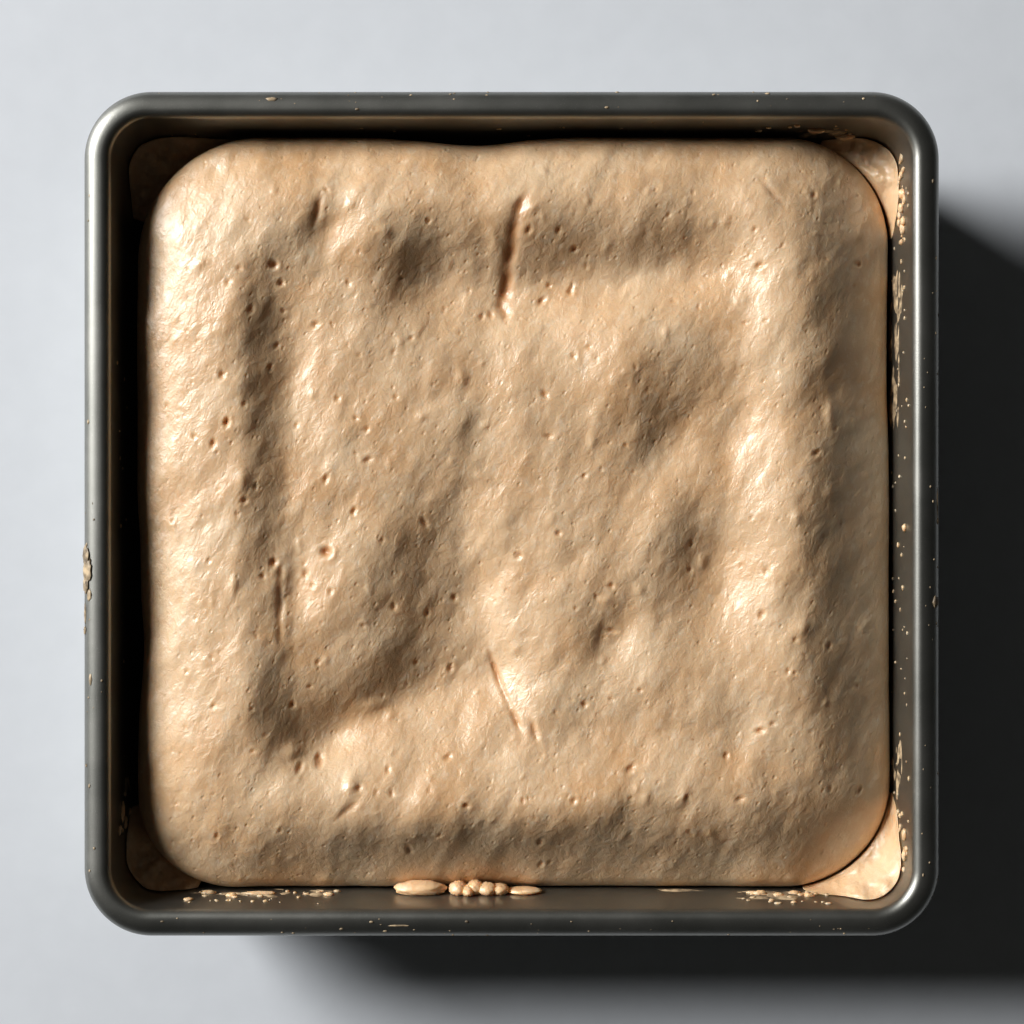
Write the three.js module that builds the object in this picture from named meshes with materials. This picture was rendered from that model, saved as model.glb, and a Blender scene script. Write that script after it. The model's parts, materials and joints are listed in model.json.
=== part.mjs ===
// Sourdough focaccia dough, proofed and dimpled by finger, in its square baking pan.
// Millimetres, +Z up. The origin is the centre of the pan's underside; +X and +Y run
// along the pan's sides, so "back" is +Y and "right" is +X.
import * as THREE from 'three';

const rad = THREE.MathUtils.degToRad;
const lerp = THREE.MathUtils.lerp;
const smoothstep = THREE.MathUtils.smoothstep;

// ---- Driving dimensions -------------------------------------------------------

// The pan is one drawn steel sheet, its rim rolled outwards and under.
const PAN_LENGTH = 243; // over the rim, along X
const PAN_WIDTH = 240; // over the rim, along Y
const PAN_HEIGHT = 51;
const SHEET = 1.0;
const WALL_LEAN = rad(7);
const FLOOR_FILLET = 8; // upper face, between floor and wall
const RIM_BEND = 2.8; // upper face, from the wall onto the crest
const CURL_REACH = 5.1; // from the crest out to the widest point
const CURL_DROP = 3.6; // from the crest down to the widest point
const TUCK_REACH = 2.9; // how far the edge comes back in under the curl
const TUCK_DROP = 2.7;
const TUCK_END = rad(-100);
const RIM_CORNER_RADIUS = 19.2; // plan radius at the widest point
const CORNER_TIGHTENING = 0.45; // plan radius lost per millimetre of inset below the rim

// Every piece of dough keeps this clear of the pan and of the other pieces.
const GAP = 0.3;

// The dough fills the pan's foot, draws away from the wall and domes over to a crown.
const DOUGH_LEFT = -108.4;
const DOUGH_RIGHT = 110.6;
const DOUGH_FRONT = -109.1;
const DOUGH_BACK = 109.2;
const DOUGH_CORNERS = { backRight: 31, backLeft: 37, frontLeft: 28, frontRight: 31 };
const DOUGH_FOOT_FILLET = 9;
const DRAW_AWAY = [13, 24]; // heights between which the side leaves the wall
const DOUGH_FLOOR = 26; // the top never lies lower, and eases on to this height
const FLOOR_EASE = 1;
const CROWN = 49.3;
const EDGE_ROUND = 3.6; // the rounding where the top meets the side
const EDGE_DROP = 3.2;
const SHOULDER_REACH = 32; // plan distance covered by the closely spaced rings

// The shoulder on each side: its crest's distance in, how softly it rolls over, its slope.
const SHOULDERS = {
  right: { crest: 24, roll: 9, slope: 0.76 },
  back: { crest: 19, roll: 9, slope: 0.6 },
  left: { crest: 18, roll: 11, slope: 0.56 },
  front: { crest: 20, roll: 10, slope: 0.92 },
};

// Inside the risen ring a basin was pressed down: where its edge lies, how wide its slope is.
const BASIN = {
  right: { edge: 84, width: 24 },
  back: { edge: 92, width: 26 },
  left: { edge: -79, width: 17 },
  front: { edge: -83, width: 23 },
};
const BASIN_CORNER = 26;
const BASIN_DEPTH = 5.0;

// Finger dimples and folds: centre, half-lengths, turn in degrees, rise.
const DIMPLES = [
  { x: -2, y: 64, along: 20, across: 13, turn: 10, rise: -5.2 },
  { x: 32, y: 68, along: 26, across: 11, turn: 8, rise: -5.4 },
  { x: 60, y: 74, along: 16, across: 13, turn: 40, rise: -3.6 },
  { x: -22, y: 68, along: 13, across: 12, turn: 70, rise: -4.2 },
  { x: 46, y: 20, along: 16, across: 8, turn: 62, rise: -3.4 },
  { x: 63, y: 24, along: 17, across: 14, turn: 68, rise: -3.0 },
  { x: 58, y: -16, along: 18, across: 11, turn: 80, rise: -3.8 },
  { x: 78, y: -70, along: 15, across: 9, turn: 60, rise: -2.4 },
  { x: -14, y: -28, along: 22, across: 16, turn: 65, rise: -6.4 },
  { x: -8, y: -48, along: 17, across: 11, turn: 30, rise: -3.8 },
  { x: -34, y: -54, along: 22, across: 10, turn: 25, rise: -4.8 },
  { x: -66, y: 44, along: 32, across: 12, turn: 88, rise: -2.8 },
];
const FOLDS = [
  { x: 33, y: 42, along: 20, across: 11, turn: 55, rise: 2.2 },
  { x: 42, y: -2, along: 13, across: 7, turn: 75, rise: 1.8 },
  { x: -47, y: -22, along: 17, across: 11, turn: 65, rise: 2.0 },
  { x: -62, y: -34, along: 22, across: 11, turn: 80, rise: 1.6 },
  { x: -30, y: -88, along: 26, across: 9, turn: 5, rise: 2.6 },
  { x: 14, y: -86, along: 18, across: 9, turn: 8, rise: 2.2 },
];
const SAGGING_CORNER = { x: 102, y: 102, along: 22, across: 20, turn: -45, rise: -2 };

// Scraps of dough left in the pan's corners: which corner, the arc they cover as seen
// from the middle of the dough's own corner (0 points along X), how high they cling to
// the wall that faces X and to the one that faces Y, and how low they dip at the dough.
const SCRAP_BASE = 25;
const SCRAPS = [
  { name: 'scrap_back_right', sx: 1, sy: 1, arc: [4, 70], topX: 38.5, topY: 31, dip: 28.5 },
  { name: 'scrap_front_right', sx: 1, sy: -1, arc: [6, 80], topX: 39.5, topY: 42, dip: 29.5 },
  { name: 'scrap_front_left', sx: -1, sy: -1, arc: [8, 68], topX: 35.5, topY: 33.5, dip: 28 },
  { name: 'scrap_back_left', sx: -1, sy: 1, arc: [20, 76], topX: 33, topY: 31, dip: 27.5 },
];

// Facets.
const PAN_CORNER_STEPS = 8;
const BEND_STEPS = 3; // THREE.Path doubles this on each arc
const DOUGH_CORNER_STEPS = 6;
const DOUGH_SIDE_STEPS = 8;
const SHOULDER_STEPS = 8;
const TOP_STEPS = 22;
const SCRAP_SECTIONS = 14;
const SCRAP_STEPS = 5;

// ---- Plan outlines --------------------------------------------------------------

// A box with round corners, walked anticlockwise from the right side's front end. Every
// outline with the same step counts has its points in step with the others.
function outline(box, corners, cornerSteps, sideSteps) {
  const stops = [
    [box.right - corners.backRight, box.back - corners.backRight, corners.backRight, 0],
    [box.left + corners.backLeft, box.back - corners.backLeft, corners.backLeft, 90],
    [box.left + corners.frontLeft, box.front + corners.frontLeft, corners.frontLeft, 180],
    [box.right - corners.frontRight, box.front + corners.frontRight, corners.frontRight, 270],
  ];
  const points = [];
  for (const [x, y, radius, start] of stops) {
    const arc = new THREE.Path().absarc(x, y, radius, rad(start), rad(start + 90));
    const bend = arc.getSpacedPoints(cornerSteps);
    if (points.length > 0) {
      points.push(...between(points.at(-1), bend[0], sideSteps));
    }
    points.push(...bend);
  }
  points.push(...between(points.at(-1), points[0], sideSteps));
  return points;
}

function between(from, to, steps) {
  const points = [];
  for (let i = 1; i < steps; i += 1) {
    points.push(from.clone().lerp(to, i / steps));
  }
  return points;
}

function evenCorners(radius) {
  return { backRight: radius, backLeft: radius, frontLeft: radius, frontRight: radius };
}

// The pan's plan at a distance in from its widest line.
function panBox(inset) {
  const halfX = PAN_LENGTH / 2 - inset;
  const halfY = PAN_WIDTH / 2 - inset;
  return { left: -halfX, right: halfX, front: -halfY, back: halfY };
}

const RIM_WIDTH = CURL_REACH + RIM_BEND * Math.cos(WALL_LEAN);
const WALL_TOP = PAN_HEIGHT - RIM_BEND + RIM_BEND * Math.sin(WALL_LEAN);

function panCornerRadius(inset) {
  const belowRim = Math.max(inset - RIM_WIDTH, 0);
  return RIM_CORNER_RADIUS - Math.min(inset, RIM_WIDTH) - belowRim * CORNER_TIGHTENING;
}

function wallInset(z) {
  return RIM_WIDTH + (WALL_TOP - z) * Math.tan(WALL_LEAN);
}

// ---- Closed skins from rings of points --------------------------------------------

// Joins rings of equal length in order, and closes both ends with a fan.
function closedSkin(rings) {
  const count = rings[0].length;
  const points = rings.flat();
  const faces = [];
  for (let r = 0; r + 1 < rings.length; r += 1) {
    for (let i = 0; i < count; i += 1) {
      const a = r * count + i;
      const b = r * count + ((i + 1) % count);
      faces.push(a, b, b + count, a, b + count, a + count);
    }
  }
  for (const [ring, turn] of [[0, 1], [rings.length - 1, -1]]) {
    const hub = points.length;
    const middle = new THREE.Vector3();
    rings[ring].forEach((point) => middle.addScaledVector(point, 1 / count));
    points.push(middle);
    for (let i = 0; i < count; i += 1) {
      const a = ring * count + i;
      const b = ring * count + ((i + 1) % count);
      faces.push(...(turn > 0 ? [hub, b, a] : [hub, a, b]));
    }
  }
  const skin = new THREE.BufferGeometry().setFromPoints(points);
  skin.setIndex(faces);
  skin.computeVertexNormals();
  return skin;
}

function lift(plan, z) {
  return plan.map((point) => new THREE.Vector3(point.x, point.y, z));
}

// ---- The pan ----------------------------------------------------------------------

// One face of the sheet from floor to tucked edge, as a path in distance outwards and
// height. Depth 0 is the face the dough lies on, depth SHEET the face underneath.
function sheetFace(depth) {
  const filletHeight = SHEET + FLOOR_FILLET;
  const wallFoot = filletHeight - FLOOR_FILLET * Math.sin(WALL_LEAN);
  const filletX = -wallInset(wallFoot) - FLOOR_FILLET * Math.cos(WALL_LEAN);
  const quarter = Math.PI / 2;
  const face = new THREE.Path();
  face.absarc(filletX, filletHeight, FLOOR_FILLET + depth, -quarter, -WALL_LEAN, false);
  face.absarc(-CURL_REACH, PAN_HEIGHT - RIM_BEND, RIM_BEND - depth, Math.PI - WALL_LEAN, quarter, true);
  const widest = PAN_HEIGHT - CURL_DROP;
  face.absellipse(-CURL_REACH, widest, CURL_REACH - depth, CURL_DROP - depth, quarter, 0, true);
  face.absellipse(-TUCK_REACH, widest, TUCK_REACH - depth, TUCK_DROP - depth, 0, TUCK_END, true);
  return face.getPoints(BEND_STEPS);
}

function makePan() {
  const section = [...sheetFace(SHEET), ...sheetFace(0).reverse()];
  const rings = section.map(({ x, y }) => {
    const plan = outline(panBox(-x), evenCorners(panCornerRadius(-x)), PAN_CORNER_STEPS, 1);
    return lift(plan, y);
  });
  return closedSkin(rings);
}

// ---- The dough --------------------------------------------------------------------

function mound(feature, x, y) {
  const turn = rad(feature.turn);
  const dx = x - feature.x;
  const dy = y - feature.y;
  const along = (dx * Math.cos(turn) + dy * Math.sin(turn)) / feature.along;
  const across = (dy * Math.cos(turn) - dx * Math.sin(turn)) / feature.across;
  return feature.rise * Math.exp(-along * along - across * across);
}

const RELIEF = [...DIMPLES, ...FOLDS, SAGGING_CORNER];
const DOUGH_CENTRE = new THREE.Vector2((DOUGH_LEFT + DOUGH_RIGHT) / 2, (DOUGH_FRONT + DOUGH_BACK) / 2);
const HALF_SPAN = (DOUGH_RIGHT - DOUGH_LEFT) / 2;
const SIDE_SHARPNESS = 6; // how quickly one side's shape gives way to the next at a corner

// A size that differs from side to side, mixed by a place's direction from the middle.
function mixSides(table, key, x, y) {
  const dx = x - DOUGH_CENTRE.x;
  const dy = y - DOUGH_CENTRE.y;
  const pulls = { right: dx, left: -dx, back: dy, front: -dy };
  let total = 0;
  let sum = 0;
  for (const [side, pull] of Object.entries(pulls)) {
    const weight = Math.max(pull / Math.hypot(dx, dy), 0) ** SIDE_SHARPNESS;
    total += weight;
    sum += weight * table[side][key];
  }
  return sum / total;
}

// 0 up on the risen ring, 1 down in the basin, whose outline is a rounded square.
function basin(x, y) {
  const halfX = (BASIN.right.edge - BASIN.left.edge) / 2;
  const halfY = (BASIN.back.edge - BASIN.front.edge) / 2;
  const pastX = Math.abs(x - (BASIN.left.edge + BASIN.right.edge) / 2) - halfX + BASIN_CORNER;
  const pastY = Math.abs(y - (BASIN.front.edge + BASIN.back.edge) / 2) - halfY + BASIN_CORNER;
  const outside = Math.hypot(Math.max(pastX, 0), Math.max(pastY, 0));
  const inset = BASIN_CORNER - outside - Math.min(Math.max(pastX, pastY), 0);
  return smoothstep(inset, 0, mixSides(BASIN, 'width', x, y));
}

// How far the dome has fallen below its crown at a distance in from the side.
function shoulderFall(x, y, inset) {
  const past = mixSides(SHOULDERS, 'crest', x, y) - inset;
  const rounded = (past + Math.hypot(past, mixSides(SHOULDERS, 'roll', x, y))) / 2;
  const lip = Math.max(1 - inset / EDGE_ROUND, 0);
  return mixSides(SHOULDERS, 'slope', x, y) * rounded + EDGE_DROP * (1 - Math.sqrt(1 - lip * lip));
}

function topHeight(x, y, inset) {
  const relief = RELIEF.reduce((sum, feature) => sum + mound(feature, x, y), 0);
  const above = CROWN - BASIN_DEPTH * basin(x, y) - shoulderFall(x, y, inset) + relief - DOUGH_FLOOR;
  return DOUGH_FLOOR + (above + Math.hypot(above, FLOOR_EASE)) / 2;
}

const DOUGH_BOX = { left: DOUGH_LEFT, right: DOUGH_RIGHT, front: DOUGH_FRONT, back: DOUGH_BACK };

// The side's outline: tight to the pan at its foot, free of it higher up.
function doughSide(z) {
  const fillet = DOUGH_FOOT_FILLET;
  const bite = Math.max(fillet - (z - SHEET - GAP), 0);
  const inset = wallInset(z) + GAP + fillet - Math.sqrt(fillet * fillet - bite * bite);
  const held = panBox(inset);
  const heldRadius = panCornerRadius(inset);
  const away = smoothstep(z, ...DRAW_AWAY);
  const box = {};
  for (const side of ['left', 'right', 'front', 'back']) {
    const free = lerp(held[side], DOUGH_BOX[side], away);
    box[side] = Math.sign(free) * Math.min(Math.abs(free), Math.abs(held[side]));
  }
  const corners = {};
  for (const corner of Object.keys(DOUGH_CORNERS)) {
    corners[corner] = lerp(heldRadius, DOUGH_CORNERS[corner], away);
  }
  return outline(box, corners, DOUGH_CORNER_STEPS, DOUGH_SIDE_STEPS);
}

function makeDough() {
  const foot = SHEET + GAP;
  const sideHeights = [0, 0.8, 2.6, 5.4, DOUGH_FOOT_FILLET, 13, 17, 20, 24].map((rise) => foot + rise);
  const rings = sideHeights.map((z) => lift(doughSide(z), z));
  const rim = doughSide(DOUGH_FLOOR + FLOOR_EASE / 2);
  const addRing = (scale) => {
    rings.push(rim.map((point) => {
      const place = DOUGH_CENTRE.clone().lerp(point, scale);
      return new THREE.Vector3(place.x, place.y, topHeight(place.x, place.y, (1 - scale) * HALF_SPAN));
    }));
  };
  const crownScale = 1 - SHOULDER_REACH / HALF_SPAN;
  for (let i = 0; i <= SHOULDER_STEPS; i += 1) {
    const angle = (i / SHOULDER_STEPS) * (Math.PI / 2);
    addRing(lerp(1, crownScale, 1 - Math.cos(angle)));
  }
  for (let i = 1; i < TOP_STEPS; i += 1) {
    addRing(crownScale * (1 - i / TOP_STEPS));
  }
  return closedSkin(rings);
}

// ---- The scraps in the corners ------------------------------------------------------

// How far the pan's wall is from a point inside its corner, along a ray. All in the
// quarter where both axes are positive.
function wallDistance(from, angle, z) {
  const inset = wallInset(z) + GAP;
  const radius = panCornerRadius(inset);
  const wallX = PAN_LENGTH / 2 - inset;
  const wallY = PAN_WIDTH / 2 - inset;
  const ray = new THREE.Vector2(Math.cos(angle), Math.sin(angle));
  const straight = Math.min((wallX - from.x) / ray.x, (wallY - from.y) / ray.y);
  const hit = from.clone().addScaledVector(ray, straight);
  const hub = new THREE.Vector2(wallX - radius, wallY - radius);
  if (hit.x < hub.x || hit.y < hub.y) {
    return straight;
  }
  const toHub = hub.clone().sub(from);
  const nearest = toHub.dot(ray);
  return nearest + Math.sqrt(radius * radius - toHub.lengthSq() + nearest * nearest);
}

function makeScrap({ sx, sy, arc, topX, topY, dip }) {
  const corner = (sx > 0 ? 'Right' : 'Left');
  const radius = DOUGH_CORNERS[(sy > 0 ? 'back' : 'front') + corner];
  const sideX = sx > 0 ? DOUGH_RIGHT : -DOUGH_LEFT;
  const sideY = sy > 0 ? DOUGH_BACK : -DOUGH_FRONT;
  const hub = new THREE.Vector2(sideX - radius, sideY - radius);
  const near = radius + GAP;
  const rings = [];
  for (let i = 0; i <= SCRAP_SECTIONS; i += 1) {
    const t = i / SCRAP_SECTIONS;
    const angle = rad(lerp(arc[0], arc[1], t));
    const body = Math.sqrt(Math.sin(Math.PI * lerp(0.02, 0.98, t)));
    const crest = lerp(SCRAP_BASE + 1, lerp(topX, topY, smoothstep(t, 0.2, 0.8)), body);
    const valley = lerp(SCRAP_BASE + 0.6, dip, body);
    const section = [[near, SCRAP_BASE], [near, valley]];
    for (let k = 1; k < SCRAP_STEPS; k += 1) {
      const u = k / SCRAP_STEPS;
      const z = lerp(valley, crest, u ** 1.8);
      section.push([lerp(near, wallDistance(hub, angle, z), u), z]);
    }
    const lip = lerp(SCRAP_BASE, crest, 0.9);
    section.push([wallDistance(hub, angle, lip), lip], [wallDistance(hub, angle, SCRAP_BASE), SCRAP_BASE]);
    rings.push(section.map(([reach, z]) => {
      const x = hub.x + reach * Math.cos(angle);
      const y = hub.y + reach * Math.sin(angle);
      return new THREE.Vector3(sx * x, sy * y, z);
    }));
  }
  return closedSkin(sx * sy > 0 ? rings : rings.reverse());
}

// ---- The whole ----------------------------------------------------------------------

const coatedSteel = { color: 0x3a3b3a, roughness: 0.42, metalness: 0.6 };
const wetDough = { color: 0xe3c8a4, roughness: 0.35, metalness: 0 };

function piece(name, geometry, looks) {
  const mesh = new THREE.Mesh(geometry, new THREE.MeshStandardMaterial(looks));
  mesh.name = name;
  return mesh;
}

const focaccia = new THREE.Group();
focaccia.add(piece('pan', makePan(), coatedSteel));
focaccia.add(piece('dough', makeDough(), wetDough));
SCRAPS.forEach((scrap) => focaccia.add(piece(scrap.name, makeScrap(scrap), wetDough)));

export default focaccia;
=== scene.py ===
import json
import math

import bpy
import numpy as np
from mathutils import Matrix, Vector

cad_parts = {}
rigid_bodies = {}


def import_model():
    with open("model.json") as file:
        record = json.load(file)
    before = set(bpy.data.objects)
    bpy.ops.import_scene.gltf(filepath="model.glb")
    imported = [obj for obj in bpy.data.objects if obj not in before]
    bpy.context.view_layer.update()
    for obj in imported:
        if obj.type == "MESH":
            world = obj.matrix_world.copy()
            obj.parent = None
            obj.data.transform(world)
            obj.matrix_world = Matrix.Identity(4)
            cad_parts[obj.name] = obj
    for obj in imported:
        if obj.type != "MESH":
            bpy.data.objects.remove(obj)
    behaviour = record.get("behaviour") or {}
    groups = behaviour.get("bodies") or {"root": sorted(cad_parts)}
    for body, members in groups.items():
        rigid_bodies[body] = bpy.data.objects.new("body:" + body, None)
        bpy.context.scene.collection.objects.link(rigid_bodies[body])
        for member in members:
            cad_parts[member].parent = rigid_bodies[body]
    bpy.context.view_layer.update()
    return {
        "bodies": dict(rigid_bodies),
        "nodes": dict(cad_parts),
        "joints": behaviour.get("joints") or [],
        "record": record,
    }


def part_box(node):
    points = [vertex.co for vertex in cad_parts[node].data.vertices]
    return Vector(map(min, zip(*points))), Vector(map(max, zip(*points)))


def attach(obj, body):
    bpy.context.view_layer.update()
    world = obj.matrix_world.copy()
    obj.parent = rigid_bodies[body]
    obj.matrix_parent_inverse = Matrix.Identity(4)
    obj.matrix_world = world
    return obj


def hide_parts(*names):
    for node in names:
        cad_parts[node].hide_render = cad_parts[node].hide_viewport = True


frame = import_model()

# Sourdough focaccia dough, proofed and dimpled by finger, in a square non-stick pan.
# Lengths are written in millimetres and go through MM when they become geometry.
MM = 0.001


def box_mm(node):
    low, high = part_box(node)
    return np.array(low) / MM, np.array(high) / MM


PAN_HIGH = box_mm("pan")[1]
DOUGH_LOW = box_mm("dough")[0]
PAN_HALF_X = PAN_HIGH[0]
PAN_HALF_Y = PAN_HIGH[1]
PAN_HEIGHT = PAN_HIGH[2]


# ---- Small tools ---------------------------------------------------------------------


def srgb(code):
    """A hex colour as the linear RGBA that Blender wants."""
    parts = [int(code[i:i + 2], 16) / 255 for i in (0, 2, 4)]
    linear = [p / 12.92 if p <= 0.04045 else ((p + 0.055) / 1.055) ** 2.4 for p in parts]
    return (*linear, 1.0)


def smooth(t):
    t = np.clip(t, 0, 1)
    return t * t * (3 - 2 * t)


# The grid of chance values behind the hills, and where the pan's middle lies on it.
LATTICE = 256
LATTICE_MIDDLE = (37.3, 51.7)


def cobbles(x, y, size, seed, stretch=1.0, turn=0.0):
    """Smooth random hills from -1 to 1, about `size` mm across, drawn out along `turn`."""
    c, s = math.cos(math.radians(turn)), math.sin(math.radians(turn))
    u = (x * c + y * s) / (size * stretch) + LATTICE_MIDDLE[0]
    v = (y * c - x * s) / size + LATTICE_MIDDLE[1]
    lattice = np.random.RandomState(seed).uniform(-1, 1, (LATTICE, LATTICE))
    iu, iv = np.floor(u).astype(int), np.floor(v).astype(int)
    fu, fv = u - iu, v - iv
    fu = fu ** 3 * (fu * (fu * 6 - 15) + 10)
    fv = fv ** 3 * (fv * (fv * 6 - 15) + 10)

    def corner(a, b):
        return lattice[(iu + a) % LATTICE, (iv + b) % LATTICE]

    near = corner(0, 0) * (1 - fu) + corner(1, 0) * fu
    far = corner(0, 1) * (1 - fu) + corner(1, 1) * fu
    return near * (1 - fv) + far * fv


def mesh_piece(name, points, faces, material, replaces=None):
    """A smooth-shaded piece on the root body, from points in millimetres."""
    mesh = bpy.data.meshes.new(name)
    mesh.from_pydata((np.asarray(points) * MM).tolist(), [], faces)
    mesh.validate()
    mesh.shade_smooth()
    piece = bpy.data.objects.new(name, mesh)
    bpy.context.collection.objects.link(piece)
    mesh.materials.append(material)
    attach(piece, "root")
    if replaces:
        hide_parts(replaces)
    return piece


def ring_faces(rings, count):
    """Quads between closed rings of `count` points, laid one after the other."""
    step = np.arange(count)
    after = (step + 1) % count
    faces = []
    for r in range(rings - 1):
        a = r * count
        quads = np.stack([a + step, a + after, a + count + after, a + count + step], 1)
        faces += quads.tolist()
    return faces


# ---- Materials -------------------------------------------------------------------------


# Sockets of a colour Mix node, which has several of each name.
MIX_A, MIX_B, MIX_RESULT = 6, 7, 2

# The way the dough was pulled, which its strings and wrinkles follow, in degrees.
PULLED_TURN = 62


def add(tree, kind, settings=None, links=None):
    """Adds a node. Settings are its properties, colour stops or input values; links feed inputs."""
    node = tree.nodes.new(kind)
    for key, value in (settings or {}).items():
        if key == "stops":
            for stop, (position, colour) in zip(node.color_ramp.elements, value):
                stop.position = position
                stop.color = colour
        elif isinstance(key, str) and hasattr(node, key):
            setattr(node, key, value)
        else:
            node.inputs[key].default_value = value
    for key, source in (links or {}).items():
        tree.links.new(source, node.inputs[key])
    return node


def new_material(name):
    """A material with only its output, and the object's own places to pattern it by."""
    material = bpy.data.materials.new(name)
    material.use_nodes = True
    tree = material.node_tree
    tree.nodes.clear()
    output = add(tree, "ShaderNodeOutputMaterial")
    place = add(tree, "ShaderNodeTexCoord").outputs["Object"]
    return material, tree, output, place


def grey(value):
    return (value, value, value, 1)


def raw_dough():
    """Wet, well proofed sourdough: flour and water, folded by oiled hands.

    It is translucent, so light spreads a few millimetres under the skin, and a film of
    oil and water gives it small, clear highlights. Fine gas bubbles pit the skin, which
    is pulled into short strings where the dough was stretched.
    """
    material, tree, output, place = new_material("raw_dough")
    pulled = add(tree, "ShaderNodeMapping", {"vector_type": "TEXTURE", "Scale": (1.5, 1, 1),
                                             "Rotation": (0, 0, math.radians(PULLED_TURN))},
                 {"Vector": place}).outputs["Vector"]
    # uneven colour in patches 22 mm across, freckles of flour 2.4 mm across, and painted shade: brown in
    # the creases and pores
    mottle = add(tree, "ShaderNodeTexNoise", {"Scale": 1 / (22 * MM), "Detail": 4.0, "Roughness": 0.6},
                 {"Vector": place})
    tint = add(tree, "ShaderNodeValToRGB", {"stops": [(0.3, srgb("D8B086")), (0.7, srgb("E8CBA8"))]},
               {"Fac": mottle.outputs["Fac"]})
    freckle = add(tree, "ShaderNodeTexNoise", {"Scale": 1 / (2.4 * MM), "Detail": 3.0, "Roughness": 0.7},
                  {"Vector": pulled})
    flour = add(tree, "ShaderNodeValToRGB", {"stops": [(0.52, grey(0)), (0.72, grey(0.35))]},
                {"Fac": freckle.outputs["Fac"]})
    floury = add(tree, "ShaderNodeMix", {"data_type": "RGBA", MIX_B: srgb("F5E6D0")},
                 {"Factor": flour.outputs["Color"], MIX_A: tint.outputs["Color"]})
    # painted shade: the deeper a place lies in a crease or pore, the browner its colour, standing in for
    # the shade that falls there
    painted_pit_shade = add(tree, "ShaderNodeAttribute", {"attribute_name": "painted_pit_shade"})
    painted_pit_shade_mix = add(tree, "ShaderNodeMix", {"data_type": "RGBA", MIX_B: srgb("B0743F")},
                 {"Factor": painted_pit_shade.outputs["Fac"], MIX_A: floury.outputs[MIX_RESULT]})

    # strings 2.8 mm across, the skin's grain 0.8 mm across, pinholes 3 mm apart
    strings = add(tree, "ShaderNodeTexNoise", {"Scale": 1 / (2.8 * MM), "Detail": 4.0, "Roughness": 0.6,
                                               "Distortion": 0.5}, {"Vector": pulled})
    string_bump = add(tree, "ShaderNodeBump", {"Strength": 0.55, "Distance": 0.7 * MM},
                      {"Height": strings.outputs["Fac"]})
    grain = add(tree, "ShaderNodeTexNoise", {"Scale": 1 / (0.8 * MM), "Detail": 2.0}, {"Vector": place})
    grain_bump = add(tree, "ShaderNodeBump", {"Strength": 0.4, "Distance": 0.14 * MM},
                     {"Height": grain.outputs["Fac"], "Normal": string_bump.outputs["Normal"]})
    cells = add(tree, "ShaderNodeTexVoronoi", {"Scale": 1 / (3 * MM)}, {"Vector": pulled})
    pinholes = add(tree, "ShaderNodeValToRGB", {"stops": [(0.05, grey(0)), (0.2, grey(1))]},
                   {"Fac": cells.outputs["Distance"]})
    pin_bump = add(tree, "ShaderNodeBump", {"Strength": 0.5, "Distance": 0.3 * MM},
                   {"Height": pinholes.outputs["Color"], "Normal": grain_bump.outputs["Normal"]})
    # the wet film lies in patches 14 mm across
    wet = add(tree, "ShaderNodeTexNoise", {"Scale": 1 / (14 * MM), "Detail": 5.0, "Roughness": 0.65},
              {"Vector": pulled})
    gloss = add(tree, "ShaderNodeMapRange",
                {"From Min": 0.35, "From Max": 0.65, "To Min": 0.28, "To Max": 0.6},
                {"Value": wet.outputs["Fac"]})
    dough = add(tree, "ShaderNodeBsdfPrincipled", {
        "subsurface_method": "BURLEY",
        "IOR": 1.42,
        "Subsurface Weight": 0.6,
        "Subsurface Radius": (1.0, 0.5, 0.22),
        "Subsurface Scale": 2.4 * MM,
        "Coat Weight": 0.85,
        "Coat Roughness": 0.36,
    }, {"Base Color": painted_pit_shade_mix.outputs[MIX_RESULT], "Roughness": gloss.outputs["Result"],
        "Normal": pin_bump.outputs["Normal"], "Coat Normal": grain_bump.outputs["Normal"]})
    tree.links.new(dough.outputs["BSDF"], output.inputs["Surface"])
    return material


def dried_film():
    """A thin skin of dough dried onto the pan: the steel shows through where it is thinnest."""
    material, tree, output, place = new_material("dried_dough_film")
    patches = add(tree, "ShaderNodeTexNoise", {"Scale": 1 / (2.6 * MM), "Detail": 4.0}, {"Vector": place})
    tone = add(tree, "ShaderNodeValToRGB", {"stops": [(0.35, srgb("6E6355")), (0.62, srgb("CDB899"))]},
               {"Fac": patches.outputs["Fac"]})
    bump = add(tree, "ShaderNodeBump", {"Strength": 0.5, "Distance": 0.15 * MM},
               {"Height": patches.outputs["Fac"]})
    film = add(tree, "ShaderNodeBsdfPrincipled", {"Roughness": 0.45, "IOR": 1.45},
               {"Base Color": tone.outputs["Color"], "Normal": bump.outputs["Normal"]})
    tree.links.new(film.outputs["BSDF"], output.inputs["Surface"])
    return material


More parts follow.
